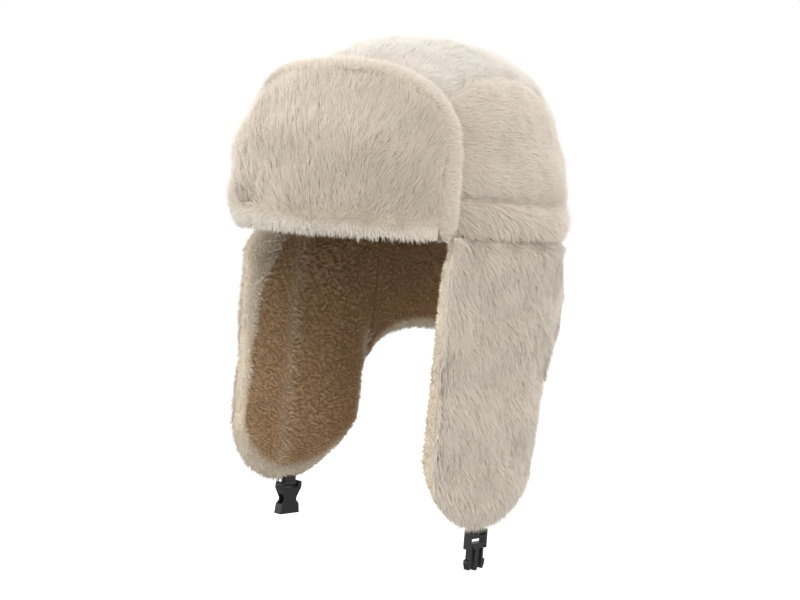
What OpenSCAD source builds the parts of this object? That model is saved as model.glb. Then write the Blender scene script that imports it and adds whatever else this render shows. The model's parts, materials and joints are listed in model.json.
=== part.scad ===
// Trapper hat: padded fur-cloth crown, turned-up visor, two long ear flaps, a short neck flap and a
// side-release chin buckle.
// Millimetres. +X is the wearer's left, -Y the front, +Z up. The origin is the middle of the head opening,
// in the plane of the seam that joins the flaps to the crown.

/* [Head opening] */
// Inside width of the head opening, ear to ear
head_w = 166; // [150:1:186]
// Inside length of the head opening, front to back
head_l = 198; // [180:1:220]
// Inside height of the crown above the seam
crown_h = 116; // [95:1:130]
// Fullness of the dome: 2 is an ellipsoid, more is squarer
dome_power = 2.55; // [2:0.05:2.8]

/* [Layers] */
// Thickness of the crown's lining cloth
lining_t = 1.5; // [1:0.1:3]
// Thickness of the batting between lining and fur
batting_t = 4; // [3:0.5:8]
// Thickness of the crown's fur cloth, backing and pile
fur_t = 13; // [9:0.5:20]
// Clearance between two layers that lie on each other
layer_gap = 0.3; // [0.2:0.05:0.5]
// Clearance between pieces that move against each other
body_gap = 0.5; // [0.3:0.1:1]

/* [Crown] */
// Width of the panel that runs front to back over the crown
centre_w = 134; // [90:2:146]
// Height of the puffed band above the flap seam
band_h = 26; // [16:1:36]
// How far the band swells beyond the crown's fur
band_bulge = 2.5; // [0:0.5:5]
// How deep the crown's fur is pulled in at its seams
seam_dip = 4.5; // [0:0.5:6]
// How far from a seam the fur is still pulled in
seam_pull = 14; // [6:1:24]

/* [Visor] */
// Height of the visor measured up over its face
visor_len = 113; // [90:1:140]
// Straight height of the visor's ends before the corner curves in
visor_end_len = 46; // [30:1:70]
// How far in front of the head's middle the visor's ends stop
visor_end = 68; // [67:1:85]
// Squareness of the visor's upper corners
visor_corner = 3; // [2:0.2:6]
// How far the visor's lower edge hangs below the flap seam
visor_drop = 4; // [0:0.5:8]
// Thickness of the visor's back panel
visor_back_t = 8; // [4:0.5:12]
// Thickness of the sheet that stiffens the visor
stiffener_t = 1.6; // [0.8:0.2:3]
// Thickness of the visor's face panel
visor_face_t = 12; // [8:0.5:14]
// How much thinner the visor's face is along its edges
visor_taper = 7; // [3:0.5:9]
// Width of the rolled edge round the visor
visor_roll = 14; // [8:1:20]

/* [Ear flaps] */
// Length of an ear flap below the seam
flap_len = 195.5; // [150:0.5:230]
// How far in front of the head's middle the flap's front edge is
flap_front = 66; // [50:1:66]
// How far behind the head's middle the flap meets the neck flap
flap_rear = 48; // [48:1:70]
// How far behind the head's middle the flap's lower rear edge is
flap_rear_low = 46; // [25:1:48]
// Height of the round end of the flap
flap_round = 46; // [30:1:70]
// How far the flap's front edge swells forward below the visor
flap_swell = 7; // [0:0.5:8]
// How flat the flap is at the seam: 0 follows the head's curve, 1 is a straight wall
flap_top_flat = 0.8; // [0.4:0.05:1]
// Length below the seam over which the flap goes on to a straight wall
flap_flat = 24; // [20:2:120]
// Forward drift of the flap for each millimetre of length
flap_slant = 0.035; // [0:0.005:0.06]
// Inward drift of the flap for each millimetre of length
flap_lean = 0.005; // [0:0.005:0.05]
// Thickness of the flap's outer fur
flap_shell_t = 9; // [6:0.5:12]
// Thickness of the flap's wadding
flap_wad_t = 4; // [2:0.5:7]
// Thickness of the flap's inner fur
flap_lining_t = 8; // [5:0.5:11]
// How far a flap folds inward under the chin, degrees
flap_fold_in = 6; // [0:1:8]

/* [Neck flap] */
// Length of the neck flap below the seam
neck_len = 77; // [60:1:100]
// Radius of the curve from the neck flap into the ear flap's rear edge
neck_fillet = 40; // [24:1:50]
// Thickness of the neck flap's outer fur
neck_shell_t = 9; // [6:0.5:12]
// Thickness of the neck flap's wadding
neck_wad_t = 4; // [2:0.5:7]
// Thickness of the neck flap's inner fur
neck_lining_t = 8; // [5:0.5:11]

/* [Chin straps] */
// Width of the webbing
strap_w = 12.5; // [10:0.5:20]
// Thickness of one ply of webbing
strap_t = 1.2; // [0.8:0.1:2]
// Length of the strap sewn into the flap's end
strap_tuck = 13; // [8:1:20]
// Distance of the buckle's bar below the flap's end
strap_drop = 4.2; // [3.8:0.1:20]

/* [Buckle] */
// Overall width of the buckle
buckle_w = 21; // [19.5:0.5:32]
// Diameter of the bars that the straps loop round
bar_d = 2.6; // [2:0.1:4]
// Running clearance round pins and bars
pin_gap = 0.08; // [0.04:0.01:0.1]
// Thickness of the socket
socket_t = 7; // [6.6:0.2:11]
// Length of the socket from its bar to its mouth
socket_len = 22.5; // [20:0.5:30]
// Width of the socket at its mouth
mouth_w = 19.4; // [18:0.2:28]
// Width of the socket at its waist
waist_w = 12; // [9:0.2:15]
// Depth of the pocket that takes the prongs
pocket_depth = 15; // [12:0.5:18]
// Width of that pocket
pocket_w = 16.4; // [15.4:0.2:17.4]
// Height of that pocket through the thickness
pocket_t = 4.6; // [4.3:0.1:5.6]
// Thickness of the plug's frame
plug_t = 5; // [4:0.2:7]
// Length of the plug's frame below its bar
plug_frame = 12; // [10.5:0.5:15]
// Height of the open window in the plug's frame
window_h = 3.2; // [2:0.2:5]
// Length of the prongs
prong_len = 15; // [12:0.5:18]
// Width of a prong's arm
prong_arm = 2; // [1.6:0.1:2.6]
// How far the prong's barb stands out from its arm
barb = 2; // [1.2:0.1:2.6]
// Thickness of prongs and tongue
prong_t = 4; // [3:0.1:5]
// Width of the tongue between the prongs
tongue_w = 4; // [3:0.1:5]
// Diameter of a prong's root
root_d = 2.6; // [2:0.1:3.2]

/* [Hidden] */
$fn = 48;
hx = head_w / 2;
hy = head_l / 2;
hz = crown_h;
dome_k = 2 / dome_power;
// Room for the chords of the crown's flat facets, which lie inside its true curve.
facet_room = 1;

batting_in = lining_t + layer_gap;
fur_in = batting_in + batting_t + layer_gap + facet_room;
fur_out = fur_in + fur_t;
band_out = fur_out + band_bulge;

visor_in = band_out + body_gap;
stiff_in = visor_in + visor_back_t + layer_gap;
face_in = stiff_in + stiffener_t + layer_gap;
visor_out = face_in + visor_face_t;
visor_mid = (visor_in + visor_out) / 2;
visor_round = hz + visor_mid;
roll_half_t = (visor_out - visor_taper - visor_in) / 2;
roll_mid = visor_in + roll_half_t;

flap_wad_in = flap_lining_t + layer_gap;
flap_seam = flap_wad_in + flap_wad_t / 2;
flap_wad_out = flap_wad_in + flap_wad_t;
flap_out = flap_wad_out + layer_gap + flap_shell_t;
neck_wad_in = neck_lining_t + layer_gap;
neck_seam = neck_wad_in + neck_wad_t / 2;
neck_wad_out = neck_wad_in + neck_wad_t;
neck_out = neck_wad_out + layer_gap + neck_shell_t;

// A flap folds on a straight line just outside the padding, so that it clears the band when it is turned up.
fold_x = hx + max(band_out, flap_out) + 0.4;
neck_side = flap_rear + 2 * body_gap;
// The swell of a flap's front edge starts where the flap, folded in, still clears the visor's lower edge.
swell_top = visor_drop + (fold_x - hx) * tan(flap_fold_in) + 2 * body_gap;
swell_low = 3 * swell_top;

// The bar of each chin strap.
tip_y0 = (flap_rear_low - flap_front) / 2;
bar_z = -flap_len - strap_drop;
bar_y = tip_y0 + flap_slant * bar_z;
bar_x = hx + flap_seam + flap_lean * bar_z;
bar_r = bar_d / 2;
loop_in = bar_r + pin_gap;
loop_out = loop_in + strap_t;
slot_w = strap_w + 1;
slot_low = -loop_out - 0.4;
pocket_top = -socket_len + pocket_depth;
prong_y = buckle_w / 2 - 1.4 - barb - prong_arm / 2;
root_z = -plug_frame + root_d / 2 - 0.4;

FUR = "#d8cdbf";
FUR_SIDE = "#c6baac";
FUR_LINING = "#a98f73";
CLOTH = "#6b5443";
WADDING = "#efece6";
PLASTIC = "#17181a";
WEBBING = "#1f1f21";

// Surfaces of the hat. Every layer of the crown is the head's dome, moved out by off.
function dome(off, a, e) = let (r = pow(cos(e), dome_k))
    [(hx + off) * r * cos(a), (hy + off) * r * sin(a), (hz + off) * sign(e) * pow(abs(sin(e)), dome_k)];
function dome_rise(off, z) = sign(z) * asin(pow(abs(z) / (hz + off), 1 / dome_k));
function dome_z(off, x, y) = (hz + off)
    * pow(max(0, 1 - pow(norm([x / (hx + off), y / (hy + off)]), dome_power)), 1 / dome_power);
function ring_r(off, z) = pow(1 - pow(z / (hz + off), dome_power), 1 / dome_power);
function wall_x(off, y) = (hx + off) * sqrt(1 - pow(y / (hy + off), 2));
function mix(a, b, t) = a + (b - a) * t;
function ease(a, b, t) = let (u = min(1, max(0, (t - a) / (b - a)))) u * u * (3 - 2 * u);
function degrees(len, radius) = len / radius * 180 / PI;

// Closed solid between an outer and an inner grid of points. Rows run up and columns anticlockwise.
module slab(outer, inner) {
    rows = len(outer);
    cols = len(outer[0]);
    n = rows * cols;
    rim = concat([for (c = [0:cols - 1]) c], [for (r = [1:rows - 1]) r * cols + cols - 1],
        [for (c = [cols - 2:-1:0]) (rows - 1) * cols + c], [for (r = [rows - 2:-1:1]) r * cols]);
    polyhedron(
        points = concat([for (r = outer) each r], [for (r = inner) each r]),
        faces = concat(
            [for (r = [0:rows - 2], c = [0:cols - 2]) let (a = r * cols + c, b = a + cols)
                each [[a, b, b + 1], [a, b + 1, a + 1]]],
            [for (r = [0:rows - 2], c = [0:cols - 2]) let (a = n + r * cols + c, b = a + cols)
                each [[a, b + 1, b], [a, a + 1, b + 1]]],
            [for (i = [0:len(rim) - 1]) let (a = rim[i], b = rim[(i + 1) % len(rim)])
                each [[a, b, n + b], [a, n + b, n + a]]]));
}

// Closed tube through rings of points; the ends are closed with flat caps, or the tube meets itself.
module tube(rings, endless = false) {
    n = len(rings);
    m = len(rings[0]);
    polyhedron(
        points = [for (r = rings) each r],
        faces = concat(
            [for (i = [0:n - (endless ? 1 : 2)], j = [0:m - 1])
                let (a = i * m, b = (i + 1) % n * m, k = (j + 1) % m)
                each [[a + j, b + j, b + k], [a + j, b + k, a + k]]],
            endless ? [] : [[for (j = [0:m - 1]) j], [for (j = [m - 1:-1:0]) (n - 1) * m + j]]));
}

// Dome-shaped layer of the crown, open at the seam plane.
module dome_layer(inside, outside) {
    n = 36;
    rises = [0, 9, 20, 32, 45, 59, 73];
    m = len(rises);
    apex = n * m;
    skin = function (off) concat([for (e = rises, i = [0:n - 1]) dome(off, i * 360 / n, e)],
        [[0, 0, hz + off]]);
    polyhedron(
        points = concat(skin(outside), skin(inside)),
        faces = concat(
            [for (r = [0:m - 2], i = [0:n - 1]) let (a = r * n + i, b = r * n + (i + 1) % n)
                each [[a, a + n, b + n], [a, b + n, b]]],
            [for (i = [0:n - 1]) [(m - 1) * n + i, apex, (m - 1) * n + (i + 1) % n]],
            [for (r = [0:m - 2], i = [0:n - 1])
                let (a = apex + 1 + r * n + i, b = apex + 1 + r * n + (i + 1) % n)
                each [[a, b + n, a + n], [a, b, b + n]]],
            [for (i = [0:n - 1]) [apex + 1 + (m - 1) * n + i, apex + 1 + (m - 1) * n + (i + 1) % n, 2 * apex + 1]],
            [for (i = [0:n - 1]) let (k = (i + 1) % n)
                each [[i, k, apex + 1 + k], [i, apex + 1 + k, apex + 1 + i]]]));
}

// Crown: fur panels over batting over lining. Each panel is crowned: it dips on a quarter circle to its seams.
function dip(distance) = seam_dip * (1 - sqrt(1 - pow(max(0, 1 - distance / seam_pull), 2)));
function centre_at(off, u, v) = let (x = (centre_w - layer_gap) / 2 * u,
    y = -(hy + off) * sqrt(pow(ring_r(off, band_h), 2) - pow(x / (hx + off), 2)) * cos(v))
    [x, y, dome_z(off, x, y)];
function side_at(off, a, t) = let (seam = (centre_w + layer_gap) / 2, r0 = ring_r(off, band_h),
    y = 0.985 * (hy + off) * sqrt(r0 * r0 - pow(seam / (hx + off), 2)) * sin(a),
    x = mix(seam, (hx + off) * sqrt(r0 * r0 - pow(y / (hy + off), 2)), cos(t)))
    [x, y, dome_z(off, x, y)];

module crown_centre_panel() {
    us = [-1, -0.97, -0.9, -0.8, -0.5, -0.25, 0, 0.25, 0.5, 0.8, 0.9, 0.97, 1];
    vs = concat([0, 1.5, 4], [for (v = [9:9:171]) v], [176, 178.5, 180]);
    inset = function (u, v) let (p = centre_at(fur_out, u, v))
        min(norm(p - centre_at(fur_out, u < 0 ? -1 : 1, v)), norm(p - centre_at(fur_out, u, v < 90 ? 0 : 180)));
    color(FUR) slab([for (v = vs) [for (u = us) centre_at(fur_out - dip(inset(u, v)), u, v)]],
        [for (v = vs) [for (u = us) centre_at(fur_in, u, v)]]);
}

module crown_side_panel_left() {
    ts = [0, 4, 10, 20, 32, 45, 58, 70, 80, 86, 90];
    as = [for (a = [-90:11.25:90]) a];
    inset = function (a, t) let (p = side_at(fur_out, a, t))
        min(norm(p - side_at(fur_out, a, 0)), norm(p - side_at(fur_out, a, 90)));
    color(FUR_SIDE) slab([for (t = ts) [for (a = as) side_at(fur_out - dip(inset(a, t)), a, t)]],
        [for (t = ts) [for (a = as) side_at(fur_in, a, t)]]);
}

module crown_side_panel_right() mirror([1, 0, 0]) crown_side_panel_left();

module crown_band() {
    top = band_h - layer_gap;
    profile = concat([for (s = [1:-0.125:0]) [mix(fur_out - 2, band_out, sqrt(4 * s * (1 - s))), s * top]],
        [[fur_in, 0], [fur_in, top]]);
    color(FUR_SIDE) tube([for (a = [0:6:354]) [for (p = profile) let (r = ring_r(p[0], p[1]))
        [(hx + p[0]) * r * cos(a), (hy + p[0]) * r * sin(a), p[1]]]], endless = true);
}

module crown_batting() color(WADDING) dome_layer(batting_in, batting_in + batting_t);

module crown_lining() color(CLOTH) dome_layer(0, lining_t);

// Visor: face, stiffener and back inside a rolled edge.
function visor_span(inset) = 90 - asin(visor_end / (hy + roll_mid)) - degrees(inset, (hx + hy) / 2 + visor_mid);
function visor_top(w, inset) = degrees(visor_end_len
    + (visor_len - visor_end_len) * sqrt(1 - pow(abs(w), visor_corner)) - inset, visor_round);

module visor_sheet(inside, outside, taper = 0) {
    edge = 1.1 * visor_roll + layer_gap;
    grid = function (off, puff) let (e0 = dome_rise(off, -visor_drop))
        [for (t = [0, 0.03, 0.08, 0.16, 0.3, 0.45, 0.6, 0.75, 0.9, 1]) [for (j = [0:18]) let (w = -cos(j * 10),
            e = mix(e0, visor_top(w, edge), t),
            keep = (1 - ease(0.6, 1, abs(w))) * (1 - ease(0.4, 1, t)) * ease(-0.05, 0.18, t))
            dome(off - puff * (1 - keep), -90 + w * visor_span(edge), e)]];
    slab(grid(outside, taper), grid(inside, 0));
}

module visor_face() color(FUR) visor_sheet(face_in, visor_out, visor_taper);

module visor_stiffener() color(WADDING) visor_sheet(stiff_in, stiff_in + stiffener_t);

module visor_back() color(FUR_SIDE) visor_sheet(visor_in, visor_in + visor_back_t);

module visor_edge_roll() {
    inset = visor_roll / 2;
    e0 = dome_rise(roll_mid, -visor_drop);
    end_top = visor_top(1, inset);
    path = concat([for (e = [0:3]) [1, mix(e0, end_top, e / 4)]],
        [for (q = [0:7.5:180]) [cos(q), visor_top(cos(q), inset)]],
        [for (e = [3:-1:0]) [-1, mix(e0, end_top, e / 4)]]);
    spot = function (i, off) dome(off, -90 + path[i][0] * visor_span(inset), path[i][1]);
    last = len(path) - 1;
    rings = [for (i = [0:last]) let (c = spot(i, roll_mid),
            out = spot(i, roll_mid + 1) - c, n = out / norm(out),
            along = i == 0 || i == last ? [0, 0, i == 0 ? 1 : -1]
                : spot(i + 1, roll_mid) - spot(i - 1, roll_mid),
            side = cross(n, along), b = side / norm(side))
        [for (q = [0:36:324]) c + b * (inset - layer_gap) * cos(q) + n * roll_half_t * sin(q)]];
    color(FUR) tube(rings);
}

// Ear flap, wearer's left. w runs -1 to 1 from its front edge to its rear edge, t runs 0 to 1 down it.
function flap_rear_at(z) = let (low = -neck_len - neck_fillet, d = z - low)
    min(flap_rear, z < low ? flap_rear_low - pow(ease(low, -flap_len, z), 2) * 6
        : d >= neck_fillet ? flap_rear
        : flap_rear_low + neck_fillet - sqrt(neck_fillet * neck_fillet - d * d));
function flap_front_at(z) = flap_front + flap_swell * ease(swell_top, swell_low, -z) * (1 + z / flap_len);
function flap_at(off, w, t) = let (
    low = -flap_len + flap_round * (1 - sqrt(max(0, 1 - w * w))),
    z1 = low * t,
    y = mix(-flap_front_at(z1), flap_rear_at(z1), (w + 1) / 2),
    flat = mix(flap_top_flat, 1, ease(0, flap_flat, -z1)) * (1 - ease(0, flap_rear, y)),
    x = mix(wall_x(off, y), hx + off, flat),
    top = -layer_gap - (fold_x - x) * tan(flap_fold_in),
    z = mix(top, low, t))
    [x + flap_lean * z, y + flap_slant * z, z];
function flap_edge(w, t) = sqrt(max(0, 1 - pow(abs(w), 8))) * sqrt(max(0, 1 - pow(t, 14)))
    * (0.85 + 0.15 * ease(0, 0.1, t));
function flap_pocket(w, t) = (1 - ease(0.84, 0.97, abs(w))) * ease(0.01, 0.045, t) * (1 - ease(0.88, 0.96, t));
FLAP_W = [for (j = [0:18]) -cos(j * 10)];
FLAP_T = [1, 0.985, 0.96, 0.92, 0.88, 0.8, 0.7, 0.6, 0.5, 0.4, 0.3, 0.21, 0.15, 0.1, 0.07, 0.045, 0.01, 0];

module strap_pocket() translate([bar_x, bar_y, bar_z]) rotate([0, flap_lean * 180 / PI, 0])
    translate([-strap_t - layer_gap, -strap_w / 2 - layer_gap, 0])
        cube([2 * (strap_t + layer_gap), strap_w + 2 * layer_gap, strap_drop + strap_tuck + layer_gap]);

module ear_flap_left_shell() color(FUR_SIDE) difference() {
    slab([for (t = FLAP_T) [for (w = FLAP_W)
            flap_at(flap_seam + 0.15 + (flap_out - flap_seam - 0.15) * mix(0.36, 1, flap_edge(w, t)), w, t)]],
        [for (t = FLAP_T) [for (w = FLAP_W)
            flap_at(flap_seam + 0.15 + (flap_wad_out + layer_gap - flap_seam - 0.15) * flap_pocket(w, t), w, t)]]);
    strap_pocket();
}

module ear_flap_left_wadding() {
    ws = [for (j = [4:14]) -cos(j * 10)];
    ts = [0.86, 0.8, 0.7, 0.6, 0.5, 0.4, 0.3, 0.21, 0.15, 0.1, 0.07, 0.055];
    color(WADDING) slab([for (t = ts) [for (w = ws) flap_at(flap_wad_out, w, t)]],
        [for (t = ts) [for (w = ws) flap_at(flap_wad_in, w, t)]]);
}

module ear_flap_left_lining() color(FUR_LINING) difference() {
    slab([for (t = FLAP_T) [for (w = FLAP_W)
            flap_at(flap_seam - 0.15 - (flap_seam - 0.15 - flap_lining_t) * flap_pocket(w, t), w, t)]],
        [for (t = FLAP_T) [for (w = FLAP_W)
            flap_at((flap_seam - 0.15) * (1 - mix(0.36, 1, flap_edge(w, t))), w, t)]]);
    strap_pocket();
}

module ear_flap_right_shell() mirror([1, 0, 0]) ear_flap_left_shell();

module ear_flap_right_wadding() mirror([1, 0, 0]) ear_flap_left_wadding();

module ear_flap_right_lining() mirror([1, 0, 0]) ear_flap_left_lining();

// Neck flap. w runs -1 to 1 from the wearer's left end round the back to the right end.
function neck_low(y) = let (d = y - flap_rear_low - neck_fillet)
    -neck_len - (d >= 0 ? 0 : neck_fillet - sqrt(max(0, neck_fillet * neck_fillet - d * d)));
function neck_at(off, w, t) = let (
    a0 = asin(neck_side / (hy + off)),
    a = mix(a0, 180 - a0, (w + 1) / 2),
    x = (hx + off) * cos(a),
    y = (hy + off) * sin(a))
    [x, y, mix(-body_gap, neck_low(y), t)];
function neck_edge(w, t) = sqrt(max(0, 1 - pow(abs(w), 16))) * sqrt(max(0, 1 - pow(t, 8)))
    * (0.45 + 0.55 * ease(0, 0.2, t));
function neck_pocket(w, t) = (1 - ease(0.9, 0.98, abs(w))) * ease(0.02, 0.09, t) * (1 - ease(0.8, 0.93, t));
NECK_W = concat([-1, -0.985, -0.96, -0.9], [for (u = [-0.8:0.1:0.8]) u], [0.9, 0.96, 0.985, 1]);
NECK_T = [1, 0.97, 0.92, 0.8, 0.65, 0.5, 0.35, 0.2, 0.09, 0.02, 0];

module neck_flap_shell() color(FUR_SIDE)
    slab([for (t = NECK_T) [for (w = NECK_W)
            neck_at(neck_seam + 0.15 + (neck_out - neck_seam - 0.15) * mix(0.36, 1, neck_edge(w, t)), w, t)]],
        [for (t = NECK_T) [for (w = NECK_W)
            neck_at(neck_seam + 0.15 + (neck_wad_out + layer_gap - neck_seam - 0.15) * neck_pocket(w, t), w, t)]]);

module neck_flap_wadding() {
    ws = [for (u = [-0.85:0.1:0.86]) u];
    ts = [0.78, 0.6, 0.4, 0.25, 0.11];
    color(WADDING) slab([for (t = ts) [for (w = ws) neck_at(neck_wad_out, w, t)]],
        [for (t = ts) [for (w = ws) neck_at(neck_wad_in, w, t)]]);
}

module neck_flap_lining() color(FUR_LINING)
    slab([for (t = NECK_T) [for (w = NECK_W)
            neck_at(neck_seam - 0.15 - (neck_seam - 0.15 - neck_lining_t) * neck_pocket(w, t), w, t)]],
        [for (t = NECK_T) [for (w = NECK_W)
            neck_at((neck_seam - 0.15) * (1 - mix(0.36, 1, neck_edge(w, t))), w, t)]]);

// Chin straps: doubled webbing sewn into the flap's end, looped round the buckle's bar.
module across(width) rotate([90, 0, 0]) linear_extrude(width, center = true) children();
module face_on(thick) rotate([90, 0, 90]) linear_extrude(thick, center = true) children();

module strap_left() color(WEBBING) translate([bar_x, bar_y, bar_z]) across(strap_w) difference() {
    union() {
        circle(loop_out);
        rotate(-flap_lean * 180 / PI) translate([-strap_t, 0])
            square([2 * strap_t, strap_drop + strap_tuck]);
    }
    circle(loop_in);
}

module strap_right() mirror([1, 0, 0]) strap_left();

// Plug: a frame with the strap's bar, a window and a tongue. The prongs turn on round roots in its base.
module buckle_plug() color(PLASTIC) translate([bar_x, bar_y, bar_z]) difference() {
    union() {
        face_on(plug_t) difference() {
            union() {
                translate([-buckle_w / 2 + 1, -plug_frame]) square([buckle_w - 2, plug_frame]);
                for (side = [-1, 1]) translate([side * (slot_w + buckle_w - 2) / 4, 0])
                    circle((buckle_w - 2 - slot_w) / 4);
            }
            translate([-slot_w / 2, slot_low]) square([slot_w, loop_out - slot_low + 1]);
            translate([-slot_w / 2, slot_low - 1.8 - window_h]) square([slot_w, window_h]);
        }
        across(slot_w + 2) circle(bar_r);
        face_on(prong_t) polygon([[-tongue_w / 2, -plug_frame + 1], [tongue_w / 2, -plug_frame + 1],
            [tongue_w / 2, -plug_frame - prong_len + 2], [tongue_w / 4, -plug_frame - prong_len],
            [-tongue_w / 4, -plug_frame - prong_len], [-tongue_w / 2, -plug_frame - prong_len + 2]]);
    }
    for (side = [-1, 1]) face_on(plug_t + 2) {
        translate([side * prong_y, root_z]) circle(root_d / 2 + pin_gap);
        translate([side * prong_y - prong_arm / 2 - 0.5, -plug_frame - 1])
            square([prong_arm + 1, 1 + root_z + plug_frame]);
    }
}

module prong() color(PLASTIC) face_on(prong_t) translate([prong_y, 0]) {
    translate([0, root_z]) circle(root_d / 2);
    polygon([[prong_arm / 2, root_z], [-prong_arm / 2, root_z], [-prong_arm / 2, -plug_frame - prong_len + 2.5],
        [-prong_arm / 2 + 0.8, -plug_frame - prong_len + 0.8],
        [prong_arm / 2 + barb / 3, -plug_frame - prong_len + 0.8],
        [prong_arm / 2 + barb, -plug_frame - prong_len * 0.66],
        [prong_arm / 2 + barb, -plug_frame - prong_len * 0.52],
        [prong_arm / 2, -plug_frame - prong_len * 0.46]]);
}

module buckle_prong_front() translate([bar_x, bar_y, bar_z]) mirror([0, 1, 0]) prong();

module buckle_prong_rear() translate([bar_x, bar_y, bar_z]) prong();

// Socket: a pinched body with the strap's bar at one end and the prongs' pocket at the other.
module buckle_socket() color(PLASTIC) translate([-bar_x, bar_y, bar_z]) {
    difference() {
        face_on(socket_t) difference() {
            union() {
                polygon([for (side = [1, -1]) each [for (i = [0:5]) let (k = side > 0 ? i : 5 - i,
                    p = [[buckle_w / 2, 0], [buckle_w / 2, slot_low], [waist_w / 2, -socket_len * 0.47],
                        [waist_w / 2, -socket_len * 0.56], [mouth_w / 2 - 1, -socket_len * 0.68],
                        [mouth_w / 2, -socket_len]][k]) [side * p[0], p[1]]]]);
                for (side = [-1, 1]) translate([side * (slot_w + buckle_w) / 4, 0])
                    circle((buckle_w - slot_w) / 4);
            }
            translate([-slot_w / 2, slot_low]) square([slot_w, loop_out - slot_low + 1]);
        }
        translate([-pocket_t / 2, -pocket_w / 2, -socket_len - 1])
            cube([pocket_t, pocket_w, pocket_depth + 1]);
    }
    across(slot_w + 2) circle(bar_r);
}

crown_centre_panel();
crown_side_panel_left();
crown_side_panel_right();
crown_band();
crown_batting();
crown_lining();
visor_face();
visor_stiffener();
visor_back();
visor_edge_roll();
ear_flap_left_shell();
ear_flap_left_wadding();
ear_flap_left_lining();
ear_flap_right_shell();
ear_flap_right_wadding();
ear_flap_right_lining();
neck_flap_shell();
neck_flap_wadding();
neck_flap_lining();
strap_left();
strap_right();
buckle_plug();
buckle_prong_front();
buckle_prong_rear();
buckle_socket();
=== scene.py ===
"""Looks of a padded fur-cloth trapper hat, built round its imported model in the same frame.

The pieces follow one another as the hat is sewn: lining and padding, the fur cloth of the crown, the visor,
the neck flap, the ear flaps, and last the chin straps and their buckle. Lengths are in millimetres until a
mesh is made. +X is the wearer's left, -Y the front and +Z up.
"""

import json
import math

import bmesh
import bpy
import numpy as np
from mathutils import Matrix, Vector


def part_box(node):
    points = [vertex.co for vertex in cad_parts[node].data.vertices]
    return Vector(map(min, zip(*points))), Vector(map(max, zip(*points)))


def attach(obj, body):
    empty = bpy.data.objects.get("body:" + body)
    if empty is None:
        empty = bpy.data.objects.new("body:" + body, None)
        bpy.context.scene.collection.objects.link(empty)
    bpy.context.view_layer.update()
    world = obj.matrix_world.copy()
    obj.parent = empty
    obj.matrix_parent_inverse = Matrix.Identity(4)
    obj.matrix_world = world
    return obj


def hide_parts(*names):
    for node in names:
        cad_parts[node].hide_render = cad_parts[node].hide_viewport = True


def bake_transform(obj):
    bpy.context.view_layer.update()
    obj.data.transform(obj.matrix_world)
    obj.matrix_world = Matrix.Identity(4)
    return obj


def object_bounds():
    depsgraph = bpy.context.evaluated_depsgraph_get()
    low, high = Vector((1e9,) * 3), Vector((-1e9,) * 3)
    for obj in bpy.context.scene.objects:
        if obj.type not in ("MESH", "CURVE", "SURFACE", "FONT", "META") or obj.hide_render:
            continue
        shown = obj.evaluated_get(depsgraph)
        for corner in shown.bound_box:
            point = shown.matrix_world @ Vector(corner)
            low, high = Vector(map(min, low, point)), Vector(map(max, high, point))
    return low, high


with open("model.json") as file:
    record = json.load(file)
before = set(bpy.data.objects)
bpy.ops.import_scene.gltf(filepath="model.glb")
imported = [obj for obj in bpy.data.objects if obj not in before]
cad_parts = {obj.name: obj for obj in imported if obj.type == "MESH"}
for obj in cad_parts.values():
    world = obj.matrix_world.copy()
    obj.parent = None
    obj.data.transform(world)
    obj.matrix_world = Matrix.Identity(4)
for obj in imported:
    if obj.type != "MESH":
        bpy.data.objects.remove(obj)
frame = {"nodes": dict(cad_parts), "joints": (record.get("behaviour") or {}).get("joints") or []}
cad_box = [list(corner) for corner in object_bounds()]

# Camera: the photograph looks at the hat from its front left, level with the seam and tipped a little.
# The hat's origin, the middle of the head opening, lies at one named pixel of the 800 x 600 picture.
AZIMUTH, ELEVATION, ROLL = 41.7, 1.05, 4.36
DISTANCE = 1.15
PICTURE_W, PICTURE_H = 800, 600
FOCAL_PX = 1597
ORIGIN_PX = (414.3, 229.3)
SENSOR_W = 36

turn, rise = math.radians(AZIMUTH), math.radians(ELEVATION)
back = Vector((math.sin(turn) * math.cos(rise), -math.cos(turn) * math.cos(rise), math.sin(rise)))
right = Vector((math.cos(turn), math.sin(turn), 0))
up = back.cross(right)
lean = Matrix.Rotation(math.radians(ROLL), 3, back)
right, up = lean @ right, lean @ up
aim = (right * (PICTURE_W / 2 - ORIGIN_PX[0]) - up * (PICTURE_H / 2 - ORIGIN_PX[1])) * DISTANCE / FOCAL_PX
back = (back * DISTANCE - aim).normalized()
right = up.cross(back).normalized()
up = back.cross(right)
camera = bpy.data.objects.new("camera", bpy.data.cameras.new("camera"))
axes = Matrix((right, up, back)).transposed().to_4x4()
camera.matrix_world = Matrix.Translation(aim + back * DISTANCE) @ axes
camera.data.sensor_width = SENSOR_W
camera.data.lens = FOCAL_PX / PICTURE_W * SENSOR_W
bpy.context.scene.collection.objects.link(camera)
bpy.context.scene.camera = camera
bpy.context.scene.view_settings.view_transform = "Standard"


# Studio: a white floor and soft light from five sides, with the hat held a little over the floor.
# The floor and the world are white to the eye and a softer grey to the hat.
def linear(code):
    """Linear RGBA of a colour written as sRGB hex."""
    srgb = np.array([int(code[i:i + 2], 16) for i in (1, 3, 5)]) / 255
    rgb = np.where(srgb <= 0.04045, srgb / 12.92, ((srgb + 0.055) / 1.055) ** 2.4)
    return (*rgb, 1.0)


def add_node(tree, kind, inputs=None, **settings):
    """Adds a node with its settings, and links or sets each input given by name or number."""
    node = tree.nodes.new(kind)
    for key, value in settings.items():
        setattr(node, key, value)
    for key, value in (inputs or {}).items():
        if isinstance(value, bpy.types.NodeSocket):
            tree.links.new(value, node.inputs[key])
        else:
            node.inputs[key].default_value = value
    return node


def blank(name):
    """A new material with no nodes in it yet, and its node tree."""
    material = bpy.data.materials.new(name)
    material.use_nodes = True
    material.node_tree.nodes.clear()
    return material, material.node_tree


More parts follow.
